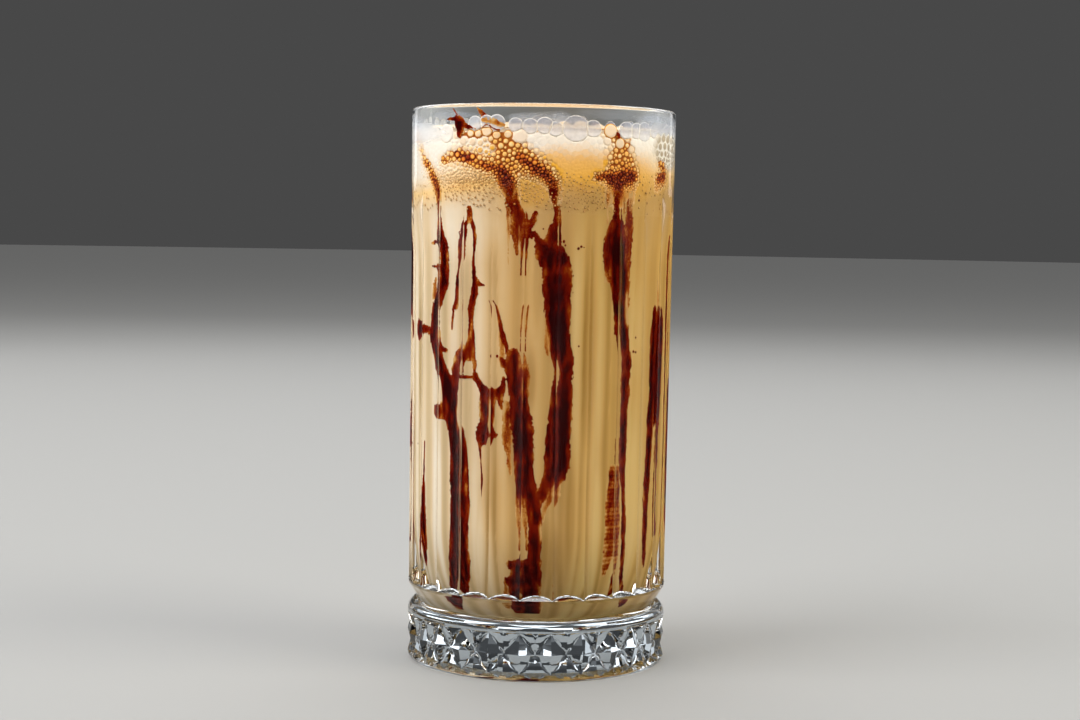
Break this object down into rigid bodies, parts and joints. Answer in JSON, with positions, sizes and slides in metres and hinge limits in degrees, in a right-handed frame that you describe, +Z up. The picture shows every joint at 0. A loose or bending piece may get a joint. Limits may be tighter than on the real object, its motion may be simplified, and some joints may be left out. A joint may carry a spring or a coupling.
{
  "type": "iced coffee",
  "caption": "Iced milk coffee with streaks of chocolate sauce and a head of foam, in a tall clear glass with shallow flutes and a diamond-cut foot.",
  "frame": {"origin": "centre of the underside of the glass, on the surface that it stands on", "axes": "+Z up along the glass's axis; -Y is the front, with the widest web of sauce; +X to the right"},
  "size_m": [0.0726, 0.0726, 0.152],
  "materials": {
    "clear_glass": "clear, fire-polished",
    "milk_coffee": "smooth liquid",
    "milk_foam": "wet foam",
    "chocolate_sauce": "glossy syrup"
  },
  "bodies": {
    "root": {"glass": "clear_glass", "coffee": "milk_coffee", "foam": "milk_foam", "sauce_front_web": "chocolate_sauce", "sauce_right": "chocolate_sauce", "sauce_far_right": "chocolate_sauce", "sauce_far_left": "chocolate_sauce", "sauce_right_side": "chocolate_sauce", "sauce_left_side": "chocolate_sauce", "sauce_back_right": "chocolate_sauce", "sauce_back_web": "chocolate_sauce", "sauce_back_left": "chocolate_sauce"}
  },
  "joints": []
}
